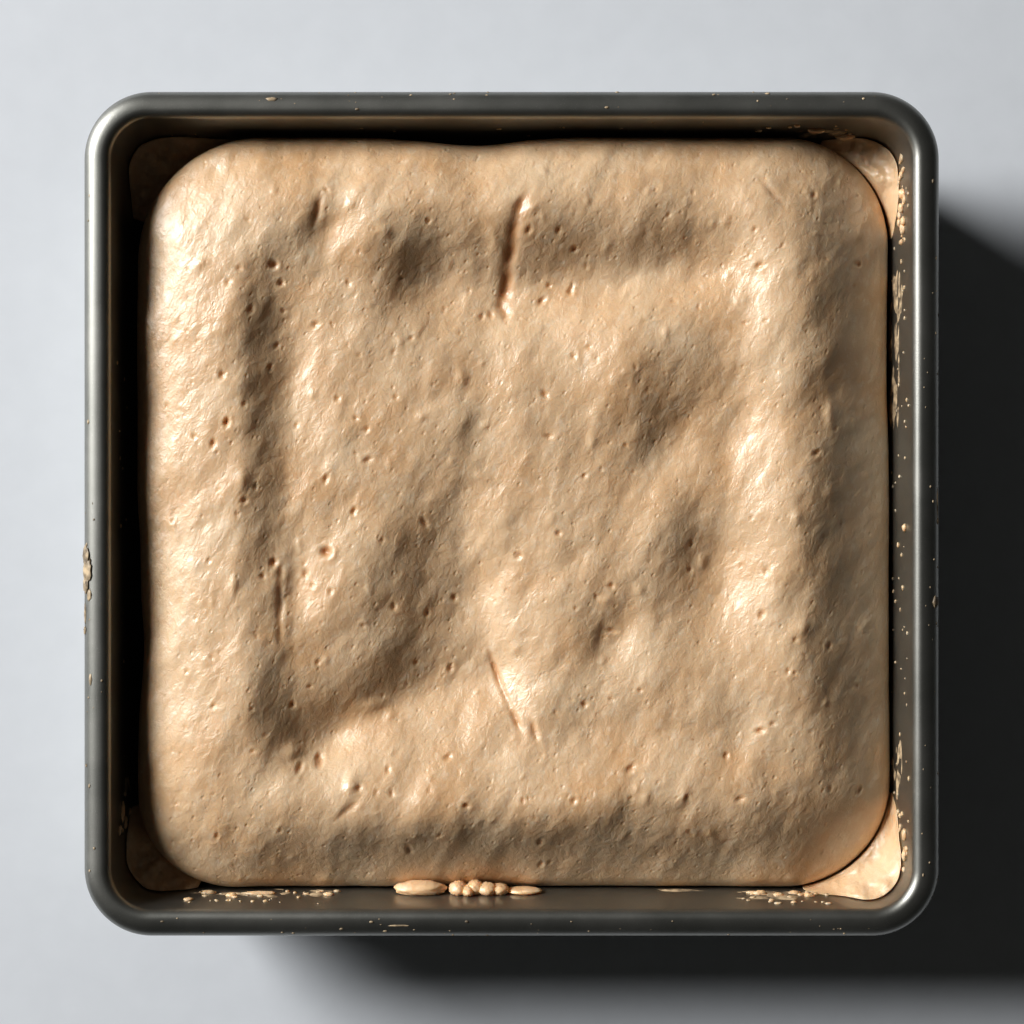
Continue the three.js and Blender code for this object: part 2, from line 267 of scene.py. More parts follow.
def non_stick_steel():
    """Carbon steel sheet under a baked-on dark grey non-stick coat.

    The coat is satin, with fine mineral flakes in it that sparkle in a low light.
    """
    material, tree, output, place = new_material("non_stick_coated_steel")
    # flakes 0.4 mm across, drawn coarser than the real ones so that they show; wear 22 mm across
    flake = add(tree, "ShaderNodeTexNoise", {"Scale": 1 / (0.4 * MM), "Detail": 2.0}, {"Vector": place})
    wear = add(tree, "ShaderNodeTexNoise", {"Scale": 1 / (22 * MM), "Detail": 6.0, "Roughness": 0.65},
               {"Vector": place})
    tone = add(tree, "ShaderNodeValToRGB", {"stops": [(0.3, srgb("888985")), (0.7, srgb("979793"))]},
               {"Fac": wear.outputs["Fac"]})
    sparkle = add(tree, "ShaderNodeValToRGB", {"stops": [(0.62, grey(0)), (0.75, grey(0.6))]},
                  {"Fac": flake.outputs["Fac"]})
    flaked = add(tree, "ShaderNodeMix", {"data_type": "RGBA", MIX_B: srgb("A5A4A0")},
                 {"Factor": sparkle.outputs["Color"], MIX_A: tone.outputs["Color"]})
    rough = add(tree, "ShaderNodeMapRange", {"To Min": 0.38, "To Max": 0.5}, {"Value": wear.outputs["Fac"]})
    bump = add(tree, "ShaderNodeBump", {"Strength": 0.3, "Distance": 0.08 * MM},
               {"Height": flake.outputs["Fac"]})
    coat = add(tree, "ShaderNodeBsdfPrincipled",
               {"Metallic": 0.92, "Coat Weight": 0.5, "Coat Roughness": 0.14},
               {"Base Color": flaked.outputs[MIX_RESULT], "Roughness": rough.outputs["Result"],
                "Normal": bump.outputs["Normal"]})
    tree.links.new(coat.outputs["BSDF"], output.inputs["Surface"])
    return material


def painted_table():
    """Matt emulsion on a board, with the faint unevenness that a roller leaves."""
    material, tree, output, place = new_material("painted_table")
    grain = add(tree, "ShaderNodeTexNoise", {"Scale": 1 / (11 * MM), "Detail": 6.0}, {"Vector": place})
    tone = add(tree, "ShaderNodeValToRGB", {"stops": [(0.0, srgb("DADFE6")), (1.0, srgb("E2E7EE"))]},
               {"Fac": grain.outputs["Fac"]})
    bump = add(tree, "ShaderNodeBump", {"Strength": 0.15, "Distance": 0.4 * MM},
               {"Height": grain.outputs["Fac"]})
    paint = add(tree, "ShaderNodeBsdfPrincipled", {"Roughness": 0.7},
                {"Base Color": tone.outputs["Color"], "Normal": bump.outputs["Normal"]})
    tree.links.new(paint.outputs["BSDF"], output.inputs["Surface"])
    return material


# ---- The pan ---------------------------------------------------------------------------

SHEET = 1.0
WALL_LEAN = math.radians(7)
FLOOR_FILLET = 8.0
RIM_BEND = 2.8
CURL_REACH, CURL_DROP = 5.1, 3.6
TUCK_REACH, TUCK_DROP = 2.9, 2.7
TUCK_END = math.radians(-100)
RIM_CORNER_RADIUS = 19.2
CORNER_TIGHTENING = 0.45
RIM_WIDTH = CURL_REACH + RIM_BEND * math.cos(WALL_LEAN)
WALL_TOP = PAN_HEIGHT - RIM_BEND + RIM_BEND * math.sin(WALL_LEAN)
PAN_CORNER_STEPS = 22
PAN_SIDE_STEPS = 60
BEND_STEPS = 12
WALL_STEPS = 14


def pan_corner_radius(inset):
    below_rim = max(inset - RIM_WIDTH, 0)
    return RIM_CORNER_RADIUS - min(inset, RIM_WIDTH) - below_rim * CORNER_TIGHTENING


def wall_inset(z):
    return RIM_WIDTH + (WALL_TOP - z) * math.tan(WALL_LEAN)


def pan_outline(inset):
    """Points round the pan at a distance in from its widest line, anticlockwise."""
    half_x, half_y, radius = PAN_HALF_X - inset, PAN_HALF_Y - inset, pan_corner_radius(inset)
    points = []
    for turn, sx, sy in ((0, 1, 1), (90, -1, 1), (180, -1, -1), (270, 1, -1)):
        hub = np.array([sx * (half_x - radius), sy * (half_y - radius)])
        angles = np.radians(turn + np.linspace(0, 90, PAN_CORNER_STEPS + 1))
        arc = hub + radius * np.stack([np.cos(angles), np.sin(angles)], 1)
        if points:
            points += side_points(points[-1], arc[0])
        points += list(arc)
    points += side_points(points[-1], points[0])
    return np.array(points)


def side_points(start, end):
    return [start + (end - start) * i / PAN_SIDE_STEPS for i in range(1, PAN_SIDE_STEPS)]


def arc_points(hub, radii, start, end, steps=BEND_STEPS):
    angles = np.linspace(start, end, steps + 1)
    return [(hub[0] + radii[0] * math.cos(a), hub[1] + radii[1] * math.sin(a)) for a in angles]


def sheet_face(depth):
    """One face of the sheet from floor to tucked edge, as (distance outwards, height)."""
    fillet_height = SHEET + FLOOR_FILLET
    wall_foot = fillet_height - FLOOR_FILLET * math.sin(WALL_LEAN)
    fillet_x = -wall_inset(wall_foot) - FLOOR_FILLET * math.cos(WALL_LEAN)
    quarter = math.pi / 2
    widest = PAN_HEIGHT - CURL_DROP
    face = arc_points((fillet_x, fillet_height), (FLOOR_FILLET + depth,) * 2, -quarter, -WALL_LEAN)
    bend = arc_points((-CURL_REACH, PAN_HEIGHT - RIM_BEND), (RIM_BEND - depth,) * 2,
                      math.pi - WALL_LEAN, quarter)
    foot, top = np.array(face[-1]), np.array(bend[0])
    face += [tuple(foot + (top - foot) * i / WALL_STEPS) for i in range(1, WALL_STEPS)]
    face += bend
    curl = arc_points((-CURL_REACH, widest), (CURL_REACH - depth, CURL_DROP - depth), quarter, 0)
    tuck = arc_points((-TUCK_REACH, widest), (TUCK_REACH - depth, TUCK_DROP - depth), 0, TUCK_END)
    return face + curl[1:] + tuck[1:]


def make_pan():
    section = sheet_face(SHEET) + sheet_face(0)[::-1]
    rings = []
    for out, z in section:
        plan = pan_outline(-out)
        rings.append(np.column_stack([plan, np.full(len(plan), z)]))
    count = len(rings[0])
    points = np.concatenate(rings)
    faces = ring_faces(len(rings), count)
    faces.append(list(range(count))[::-1])
    faces.append([(len(rings) - 1) * count + i for i in range(count)])
    return mesh_piece("pan_shell", points, faces, non_stick_steel(), "pan")


# ---- The dough's relief ------------------------------------------------------------------

DOUGH_LEFT, DOUGH_RIGHT = -108.4, 110.6
DOUGH_FRONT, DOUGH_BACK = -109.1, 109.2
CENTRE = np.array([(DOUGH_LEFT + DOUGH_RIGHT) / 2, (DOUGH_FRONT + DOUGH_BACK) / 2])
CORNERS = {(1, 1): 31.0, (-1, 1): 37.0, (-1, -1): 28.0, (1, -1): 31.0}
# Where the dough draws in a little: direction from the middle, how wide, how deep.
DRAWN_IN = [(97, 9, 2.4), (200, 8, 2.0), (186, 6, 0.8), (24, 14, 1.0), (345, 12, 0.4), (262, 10, 0.3)]
CROWN = 49.3

# The shoulder on each side: crest's distance in, how softly it rolls over, its slope.
SHOULDERS = {"right": (24, 9, 0.76), "back": (19, 9, 0.60), "left": (18, 11, 0.56), "front": (20, 10, 0.92)}
EDGE_ROUND = 3.6
EDGE_DROP = 3.2

# The pressed basin inside the risen ring: where its edge lies, how wide the slope into it is.
BASIN = {"left": (-79.0, 17), "right": (84.0, 24), "front": (-83.0, 23), "back": (92.0, 26)}
BASIN_CORNER = 26.0
BASIN_DEPTH = 5.0
BASIN_WANDER, BASIN_WANDER_SIZE = 2.5, 36

# The dough never lies lower than this, and eases on to it.
DOUGH_FLOOR, FLOOR_EASE = 26.0, 1.0

# How sharply one side's shoulder gives way to the next at a corner.
SIDE_SHARPNESS = 6

# Finger dimples (down) and folds (up): centre x, y, half-length, half-width, turn, rise.
MOUNDS = [
    # the trough that fingers left along the back
    (-2, 64, 20, 13, 10, -5.2), (32, 68, 26, 11, 8, -5.4), (60, 74, 16, 13, 40, -3.6),
    (-22, 68, 13, 12, 70, -4.2), (-52, 82, 8, 7, 60, -2.8), (57, 90, 13, 9, 30, -2.2),
    # the hump at the back right, and the dimples beside it
    (33, 42, 20, 11, 55, 2.2), (46, 20, 16, 8, 62, -3.4), (63, 24, 17, 14, 68, -3.0),
    # down the right
    (42, -2, 13, 7, 75, 1.8), (58, -16, 18, 11, 80, -3.8), (29, -36, 10, 6, 65, -2.4),
    (78, -70, 15, 9, 60, -2.4),
    # the wide hollow left of the middle, and the plateau beside it
    (-14, -28, 22, 16, 65, -6.4), (-8, -48, 17, 11, 30, -3.8), (-34, -54, 22, 10, 25, -4.8),
    (-54, -65, 11, 8, 30, -3.0), (-18, -4, 14, 9, 75, -2.2), (-47, -22, 17, 11, 65, 2.0),
    # the left of the basin
    (-66, 44, 32, 12, 88, -2.8), (-61, -22, 10, 5, 85, -1.6), (-62, -34, 22, 11, 80, 1.6),
    # the front's low swells
    (-30, -88, 26, 9, 5, 2.6), (14, -86, 18, 9, 8, 2.2),
    # the back right corner sags
    (102, 102, 22, 20, -45, -2.0),
]

# The skin's own unevenness: how high its waves stand, how wide they are, how drawn out.
SKIN_WAVES = [(0.60, 30, 1.3), (0.55, 13, 1.4), (0.30, 6, 1.6), (0.14, 3, 1.8), (0.06, 1.6, 1.8)]

# The fold left where the two halves of the dough met: place along Y, place along X.
FOLD_LINE = [(-66, 7), (-50, 0), (-28, -7), (10, -5), (50, -1), (75, -1), (95, 5)]
# How many millimetres of the line are averaged to rub its corners round.
FOLD_SOFTENING = 23
# Its ridge and its valley: rise, distance to the line's right, half-width.
FOLD_RIDGE = (0.35, 5, 5)
FOLD_VALLEY = (-0.6, -4, 6)

# Creases: points along the line, half-width, depth, and the height of the lip on its right.
CREASES = [
    ([(5, 94), (1.5, 85), (-0.5, 74), (-2.5, 60), (-1, 53)], 1.7, 1.3, 0.0),
    ([(-7, -38), (-3, -50), (3, -63)], 0.8, 0.8, 0.25),
    ([(5.5, -58.5), (7.5, -66)], 0.8, 1.0, 0.35),
    ([(-54, 92), (-57, 80)], 1.0, 0.7, 0.2),
    ([(-66, -13), (-66, -38)], 0.9, 0.5, 0.15),
    ([(-43, -81), (-51, -88)], 0.9, 0.6, 0.1),
    ([(70, 98), (79, 86)], 0.9, 0.35, 0.1),
    ([(28, -27), (24, -40)], 1.4, 0.4, 0.1),
]

# The burst bubbles that catch the eye: x, y, half-length, half-width, turn, depth.
PORES = [
    (-53, -11, 1.8, 1.6, 0, 1.3), (-81, 26, 1.7, 0.9, 80, 0.9), (-85, 20, 1.6, 0.8, 75, 0.8),
    (-68, 71, 1.4, 1.2, 0, 1.0), (-66, 66, 1.2, 0.9, 70, 0.8), (-68, -14, 1.6, 1.2, 70, 0.9),
    (17, 64, 1.4, 0.9, 60, 0.8), (18, 76, 1.1, 0.9, 40, 0.8), (71, 71, 1.5, 1.0, 20, 0.9),
    (-45, 1, 1.2, 0.8, 60, 0.7), (2, -12, 1.3, 1.2, 0, 0.7), (71, -62, 1.6, 0.9, 20, 0.9),
    (-13, -83, 1.1, 0.9, 0, 0.8), (-55, -71, 2.4, 1.3, 80, 0.9),
]

# The raised blisters that catch the eye: x, y, half-length, half-width, turn, rise.
BLISTERS = [
    (-46, 88, 1.8, 1.1, 60, 0.5), (-46, -77, 3.2, 1.6, 80, 0.8), (-62, -68, 2.6, 1.8, 20, 0.9),
    (-40, -55, 3.0, 1.8, 20, 0.9), (91, 30, 5.0, 1.6, 88, 0.7), (91, 6, 2.4, 1.8, 80, 0.6),
    (81, -1, 2.4, 1.5, 80, 0.7), (-79, -20, 3.4, 0.9, 85, 0.5),
]

# The small bubbles left to chance: seed, how many, smallest, spread of sizes, relief for its size.
SMALL_PORES = (7, 380, 0.35, 0.65, 0.7)
SMALL_BLISTERS = (11, 90, 0.6, 1.0, 0.4)
# How many half-lengths away a small feature stops counting.
PATCH_REACH = 3.0

# How deep a hollow would take all of the painted shade of creases and pores, and the largest share that any
# takes.
PIT_SHADE_DEPTH, PIT_SHADE_SHARE = 1.4, 0.7


def drawn_line(points, along):
    """A line drawn through (place, value) points, its corners rubbed round."""
    places, values = zip(*points)
    dense = np.arange(-150.0, 151.0)
    window = np.hanning(FOLD_SOFTENING)
    padded = np.pad(np.interp(dense, places, values), FOLD_SOFTENING // 2, "edge")
    line = np.convolve(padded, window / window.sum(), "valid")
    return np.interp(along, dense, line)


def side_weights(x, y):
    """How much each side counts at a place, by its direction from the dough's centre."""
    angle = np.arctan2(y - CENTRE[1], x - CENTRE[0])
    c, s = np.cos(angle), np.sin(angle)
    facing = {"right": c, "left": -c, "back": s, "front": -s}
    weights = {side: np.maximum(way, 0) ** SIDE_SHARPNESS for side, way in facing.items()}
    total = sum(weights.values())
    return {side: weight / total for side, weight in weights.items()}


def basin(x, y):
    """0 up on the risen ring, 1 down in the basin, whose outline is a wandering rounded square."""
    left, right, front, back = (BASIN[side][0] for side in ("left", "right", "front", "back"))
    past_x = np.abs(x - (left + right) / 2) - (right - left) / 2 + BASIN_CORNER
    past_y = np.abs(y - (front + back) / 2) - (back - front) / 2 + BASIN_CORNER
    outside = np.hypot(np.maximum(past_x, 0), np.maximum(past_y, 0))
    inset = BASIN_CORNER - outside - np.minimum(np.maximum(past_x, past_y), 0)
    inset = inset + BASIN_WANDER * cobbles(x, y, BASIN_WANDER_SIZE, 9)
    weights = side_weights(x, y)
    return smooth(inset / sum(weights[side] * BASIN[side][1] for side in BASIN))


def oval_place(x, y, feature):
    """A place in an oval feature's own directions, 1 at the end of its half-length and half-width."""
    cx, cy, along, across, turn = feature[:5]
    c, s = math.cos(math.radians(turn)), math.sin(math.radians(turn))
    u = ((x - cx) * c + (y - cy) * s) / along
    v = ((y - cy) * c - (x - cx) * s) / across
    return u, v


def mound(x, y, feature):
    u, v = oval_place(x, y, feature)
    return feature[5] * np.exp(-u * u - v * v)


def reach(angle):
    """Distance from the dough's centre to its rounded outline."""
    half_x = (DOUGH_RIGHT - DOUGH_LEFT) / 2
    half_y = (DOUGH_BACK - DOUGH_FRONT) / 2
    result = np.zeros_like(angle)
    for (sx, sy), radius in CORNERS.items():
        c, s = np.cos(angle) * sx, np.sin(angle) * sy
        here = (c >= -1e-9) & (s >= -1e-9)
        c, s = np.maximum(c, 1e-9), np.maximum(s, 1e-9)
        straight = np.minimum(half_x / c, half_y / s)
        hub_x, hub_y = half_x - radius, half_y - radius
        nearest = hub_x * c + hub_y * s
        bend = nearest + np.sqrt(np.maximum(radius ** 2 - hub_x ** 2 - hub_y ** 2 + nearest ** 2, 0))
        round_part = (straight * c > hub_x) & (straight * s > hub_y)
        result = np.where(here, np.where(round_part, bend, straight), result)
    for direction, width, depth in DRAWN_IN:
        away = (np.degrees(angle) - direction + 180) % 360 - 180
        result = result - depth * np.exp(-(away / width) ** 2)
    return result


def shoulder_fall(x, y):
    """How far the dome has fallen below its crown towards the side."""
    dx, dy = x - CENTRE[0], y - CENTRE[1]
    angle = np.arctan2(dy, dx)
    scale = np.hypot(dx, dy) / reach(angle)
    inset = (1 - scale) * (DOUGH_RIGHT - DOUGH_LEFT) / 2
    weights = side_weights(x, y)
    crest, roll, slope = (sum(weights[k] * SHOULDERS[k][i] for k in weights) for i in range(3))
    past = crest - inset
    fall = slope * (past + np.sqrt(past * past + roll * roll)) / 2
    t = np.clip(1 - inset / EDGE_ROUND, 0, 1)
    return fall + EDGE_DROP * (1 - np.sqrt(np.maximum(1 - t * t, 0)))


def crease(x, y, points, width, depth, lip):
    """A groove along a line of points, with a low lip to the right of it."""
    reached = np.full(np.shape(x), np.inf)
    beside = np.zeros(np.shape(x))
    for (x0, y0), (x1, y1) in zip(points, points[1:]):
        dx, dy = x1 - x0, y1 - y0
        along = np.clip(((x - x0) * dx + (y - y0) * dy) / (dx * dx + dy * dy), 0, 1)
        off_x, off_y = x - x0 - along * dx, y - y0 - along * dy
        distance = np.hypot(off_x, off_y)
        nearer = distance < reached
        reached = np.where(nearer, distance, reached)
        beside = np.where(nearer, off_x, beside)
    tip = np.hypot(x - points[0][0], y - points[0][1])
    toe = np.hypot(x - points[-1][0], y - points[-1][1])
    fade = smooth(np.minimum(tip, toe) / (5 * width) + 0.1)
    uneven = 0.75 + 0.45 * cobbles(x, y, 3.5, 30)
    narrow = width * (0.55 + 0.45 * fade)
    groove = -depth * uneven * np.exp(-(reached / narrow) ** 2)
    raised = lip * np.exp(-((beside - 2.2 * width) / (1.3 * width)) ** 2 - (reached / (3 * width)) ** 2)
    return fade * (groove + raised)


def crater(x, y, pore):
    """A burst bubble: a round-bottomed pit with a faint lip."""
    depth = pore[5]
    r = np.hypot(*oval_place(x, y, pore))
    pit = -depth * (1 - smooth(r / 1.25))
    lip = 0.1 * depth * np.exp(-((r - 1.5) / 0.35) ** 2)
    return pit + lip


def fold(x, y):
    """The long fold down the middle: a valley with a ridge along its right."""
    beside = x - drawn_line(FOLD_LINE, y)
    here = smooth((y + 72) / 20) * smooth((58 - y) / 22)
    ridge, valley = (rise * np.exp(-((beside - off) / wide) ** 2)
                     for rise, off, wide in (FOLD_RIDGE, FOLD_VALLEY))
    return here * (ridge + valley)


def scattered(seed, count, smallest, spread, relief):
    """Many small bubbles left to chance, most of them near the smallest size."""
    chance = np.random.RandomState(seed)
    features = []
    for _ in range(count):
        x, y = chance.uniform(-100, 104), chance.uniform(-103, 103)
        size = smallest + spread * chance.uniform() ** 2.5
        turn = chance.normal(70, 25)
        length = size * chance.uniform(1.0, 2.0)
        features.append((x, y, length, size, turn, relief * size))
    return features


def add_small(z, x, y, features, shape):
    """Adds small features, each worked out only on the patch around it."""
    for feature in features:
        cx, cy, length = feature[:3]
        patch = (np.abs(x - cx) < PATCH_REACH * length) & (np.abs(y - cy) < PATCH_REACH * length)
        z[patch] += shape(x[patch], y[patch], feature)


def dough_form(x, y):
    """The dough's form without its skin: ring, basin, dimples and folds."""
    z = CROWN - BASIN_DEPTH * basin(x, y) - shoulder_fall(x, y)
    for feature in MOUNDS:
        z = z + mound(x, y, feature)
    above = z + fold(x, y) - DOUGH_FLOOR
    return DOUGH_FLOOR + (above + np.sqrt(above * above + FLOOR_EASE * FLOOR_EASE)) / 2


def dough_height(x, y):
    """The dough's surface, and how deep each place lies in a crease or pore, which sets the painted shade
    there.
    """
    z = dough_form(x, y)
    for rise, size, stretch in SKIN_WAVES:
        z = z + rise * cobbles(x, y, size, round(size), stretch, PULLED_TURN)
    add_small(z, x, y, BLISTERS + scattered(*SMALL_BLISTERS), mound)
    unbroken = z.copy()
    for points, width, depth, lip in CREASES:
        z = z + crease(x, y, points, width, depth, lip)
    add_small(z, x, y, PORES + scattered(*SMALL_PORES), crater)
    return z, np.clip((unbroken - z) / PIT_SHADE_DEPTH, 0, PIT_SHADE_SHARE)


# ---- Light, floor, camera -----------------------------------------------------------------

# Distances here are in metres, the lens and the sensor in millimetres, the power in watts.
KEY_ELEVATION = math.radians(31)
KEY_AZIMUTH = math.radians(27)
KEY_DISTANCE = 3.2
KEY_SIZE = 1.36
KEY_POWER = 134
KEY_COLOUR = (1.0, 0.985, 0.96)
ROOM_COLOUR = (1.0, 0.97, 0.88, 1)
ROOM_STRENGTH = 0.022
FLOOR_SIZE = 6
FLOOR_DROP = 0.00005
LENS = 85.7
SENSOR_WIDTH = 36
CAMERA_PLACE = (0.1 * MM, 0.5 * MM, 741 * MM)


def make_stage():
    bpy.ops.mesh.primitive_plane_add(size=FLOOR_SIZE)
    floor = bpy.context.object
    floor.name = "floor"
    floor.location.z = -FLOOR_DROP
    floor.data.materials.append(painted_table())


def make_key_light():
    light = bpy.data.lights.new("window", "AREA")
    light.shape = "DISK"
    light.size = KEY_SIZE
    light.energy = KEY_POWER
    light.color = KEY_COLOUR
    lamp = bpy.data.objects.new("window", light)
    direction = np.array([-math.cos(KEY_ELEVATION) * math.cos(KEY_AZIMUTH),
                          math.cos(KEY_ELEVATION) * math.sin(KEY_AZIMUTH),
                          math.sin(KEY_ELEVATION)])
    lamp.location = direction * KEY_DISTANCE
    lamp.rotation_euler = Vector(-direction).to_track_quat("-Z", "Y").to_euler()
    bpy.context.collection.objects.link(lamp)


def make_world():
    world = bpy.data.worlds.new("room")
    world.use_nodes = True
    background = world.node_tree.nodes["Background"]
    background.inputs["Color"].default_value = ROOM_COLOUR
    background.inputs["Strength"].default_value = ROOM_STRENGTH
    bpy.context.scene.world = world


def make_camera():
    camera_data = bpy.data.cameras.new("camera")
    camera_data.lens = LENS
    camera_data.sensor_width = SENSOR_WIDTH
    camera = bpy.data.objects.new("camera", camera_data)
    camera.location = CAMERA_PLACE
    bpy.context.collection.objects.link(camera)
    bpy.context.scene.camera = camera


# ---- The dough ------------------------------------------------------------------------------

DOUGH_CELLS = 460
DOUGH_SPAN = 108.0
DOUGH_FACES = 190000
SKIRT_DEPTHS = (0.08, 0.2, 0.35, 0.5, 0.65, 0.8, 0.92, 1.0)
SECTION_STEPS = 2001
SECTION_Y = -5
# The clearance from the pan, and the rounding of the foot, wider than the pan's so that it clears it.
DOUGH_GAP = 0.3
DOUGH_FOOT_FILLET = 9.0


def foot_inset(z):
    """How far in from the pan's widest line the dough's foot lies, gap included."""
    bite = max(DOUGH_FOOT_FILLET - (z - DOUGH_LOW[2]), 0)
    return wall_inset(z) + DOUGH_GAP + DOUGH_FOOT_FILLET - math.sqrt(DOUGH_FOOT_FILLET ** 2 - bite ** 2)


def hold_in_pan(points, z):
    """Keeps points at height z inside the pan's wall."""
    inset = foot_inset(z)
    half_x, half_y, radius = PAN_HALF_X - inset, PAN_HALF_Y - inset, pan_corner_radius(inset)
    x = np.clip(points[:, 0], -half_x, half_x)
    y = np.clip(points[:, 1], -half_y, half_y)
    over_x, over_y = np.abs(x) - (half_x - radius), np.abs(y) - (half_y - radius)
    beyond = np.hypot(np.maximum(over_x, 1e-9), np.maximum(over_y, 1e-9))
    cut = (over_x > 0) & (over_y > 0) & (beyond > radius)
    pull = np.where(cut, radius / beyond, 1)
    x = np.where(cut, np.sign(x) * (half_x - radius + over_x * pull), x)
    y = np.where(cut, np.sign(y) * (half_y - radius + over_y * pull), y)
    return x, y


def make_dough():
    n = DOUGH_CELLS
    # spread the rings evenly along the domed section, measured through the right side
    scale = np.linspace(0, 1, SECTION_STEPS)
    section = dough_form(CENTRE[0] + scale * (DOUGH_RIGHT - CENTRE[0]), np.full_like(scale, SECTION_Y))
    length = np.concatenate([[0], np.cumsum(np.hypot(np.diff(scale) * DOUGH_SPAN, np.diff(section)))])
    even = np.linspace(-1, 1, n + 1)
    u, v = np.meshgrid(even, even)
    s = np.maximum(np.abs(u), np.abs(v))
    ring = np.interp(s * length[-1], length, scale)
    angle = np.arctan2(v, u)
    out = reach(angle) * ring
    x = CENTRE[0] + np.cos(angle) * out
    y = CENTRE[1] + np.sin(angle) * out
    z, painted_pit_shade = dough_height(x, y)
    top = np.stack([x, y, z], -1).reshape(-1, 3)
    index = np.arange((n + 1) ** 2).reshape(n + 1, n + 1)
    quads = np.stack([index[:-1, :-1], index[:-1, 1:], index[1:, 1:], index[1:, :-1]], -1).reshape(-1, 4)
    around = np.concatenate([index[0, :-1], index[:-1, -1], index[-1, :0:-1], index[:0:-1, 0]])
    rim = top[around]
    skirt = []
    for depth in SKIRT_DEPTHS:
        lower = rim.copy()
        lower[:, 2] = rim[:, 2] * (1 - depth) + DOUGH_LOW[2] * depth
        lower[:, 0], lower[:, 1] = hold_in_pan(lower, lower[:, 2].min())
        skirt.append(lower)
    points = np.concatenate([top] + skirt)
    faces = quads.tolist()
    count = len(around)
    ring_ids = [around] + [len(top) + k * count + np.arange(count) for k in range(len(SKIRT_DEPTHS))]
    for upper, lower in zip(ring_ids, ring_ids[1:]):
        faces += np.stack([upper, lower, np.roll(lower, -1), np.roll(upper, -1)], 1).tolist()
    faces.append(ring_ids[-1][::-1].tolist())
    piece = mesh_piece("dough_body", points, faces, WET_DOUGH, "dough")
    # the painted shade of creases and pores, kept on the mesh for the dough's colour
    painted_pit_shade_values = np.zeros(len(points))
    painted_pit_shade_values[:len(top)] = painted_pit_shade.ravel()
    piece.data.attributes.new("painted_pit_shade", "FLOAT", "POINT").data.foreach_set("value", painted_pit_shade_values)
    thin_out(piece, DOUGH_FACES)


def thin_out(piece, wanted):
    """Merges the triangles that flat stretches don't need."""
    triangles = sum(len(face.vertices) - 2 for face in piece.data.polygons)
    decimate = piece.modifiers.new("thin_out", "DECIMATE")
    decimate.ratio = wanted / triangles
    with bpy.context.temp_override(object=piece, active_object=piece, selected_objects=[piece]):
        bpy.ops.object.modifier_apply(modifier=decimate.name)


# ---- Scraps, smears, crumbs -------------------------------------------------------------------

SCRAP_BASE = 25.0
SCRAP_SECTIONS = 110
SCRAP_STEPS = 44

# Which corner, the arc it covers, how high it clings to each wall, its dip, its bulges.
SCRAPS = [
    ("scrap_back_right", 1, 1, (4, 70), 38.5, 31, 28.5,
     [(108, 88, 7, 2.2, 92, 2.0), (106, 98, 4, 3, 60, 2.4),
      (99, 101, 5, 3, 30, 1.6), (103, 93, 3, 2, 40, 1.2)]),
    ("scrap_front_right", 1, -1, (6, 80), 39.5, 42, 29.5,
     [(107, -106, 5, 3, -45, 1.6), (110, -100, 4, 2, 90, 1.2),
      (98, -108, 6, 2, 0, 1.4), (102, -100, 6, 3, 40, 0.8)]),
    ("scrap_front_left", -1, -1, (8, 68), 35.5, 33.5, 28,
     [(-104, -103, 5, 3, 45, 1.4), (-98, -107, 4, 2, 0, 1.2), (-108, -94, 5, 2, 90, 1.0)]),
    ("scrap_back_left", -1, 1, (20, 76), 33, 31, 27.5,
     [(-103, 101, 5, 3, -45, 1.4), (-92, 107, 6, 2, 0, 0.9), (-107, 93, 4, 2, 90, 0.9)]),
]

# The webs' own unevenness: how high, how wide, and which seed after the web's own.
SCRAP_WAVES = [(1.1, 6.0, 2), (0.6, 2.6, 3), (0.2, 1.2, 5)]


def wall_distance(hub, angle, z):
    """Distance to the wall from a point inside a corner, in the all-positive quarter."""
    inset = wall_inset(z) + DOUGH_GAP
    radius = pan_corner_radius(inset)
    wall = np.array([PAN_HALF_X - inset, PAN_HALF_Y - inset])
    ray = np.array([math.cos(angle), math.sin(angle)])
    straight = min((wall - hub) / ray)
    hit = hub + ray * straight
    corner = wall - radius
    if hit[0] < corner[0] or hit[1] < corner[1]:
        return straight
    to_corner = corner - hub
    nearest = to_corner @ ray
    return nearest + math.sqrt(radius * radius - to_corner @ to_corner + nearest * nearest)


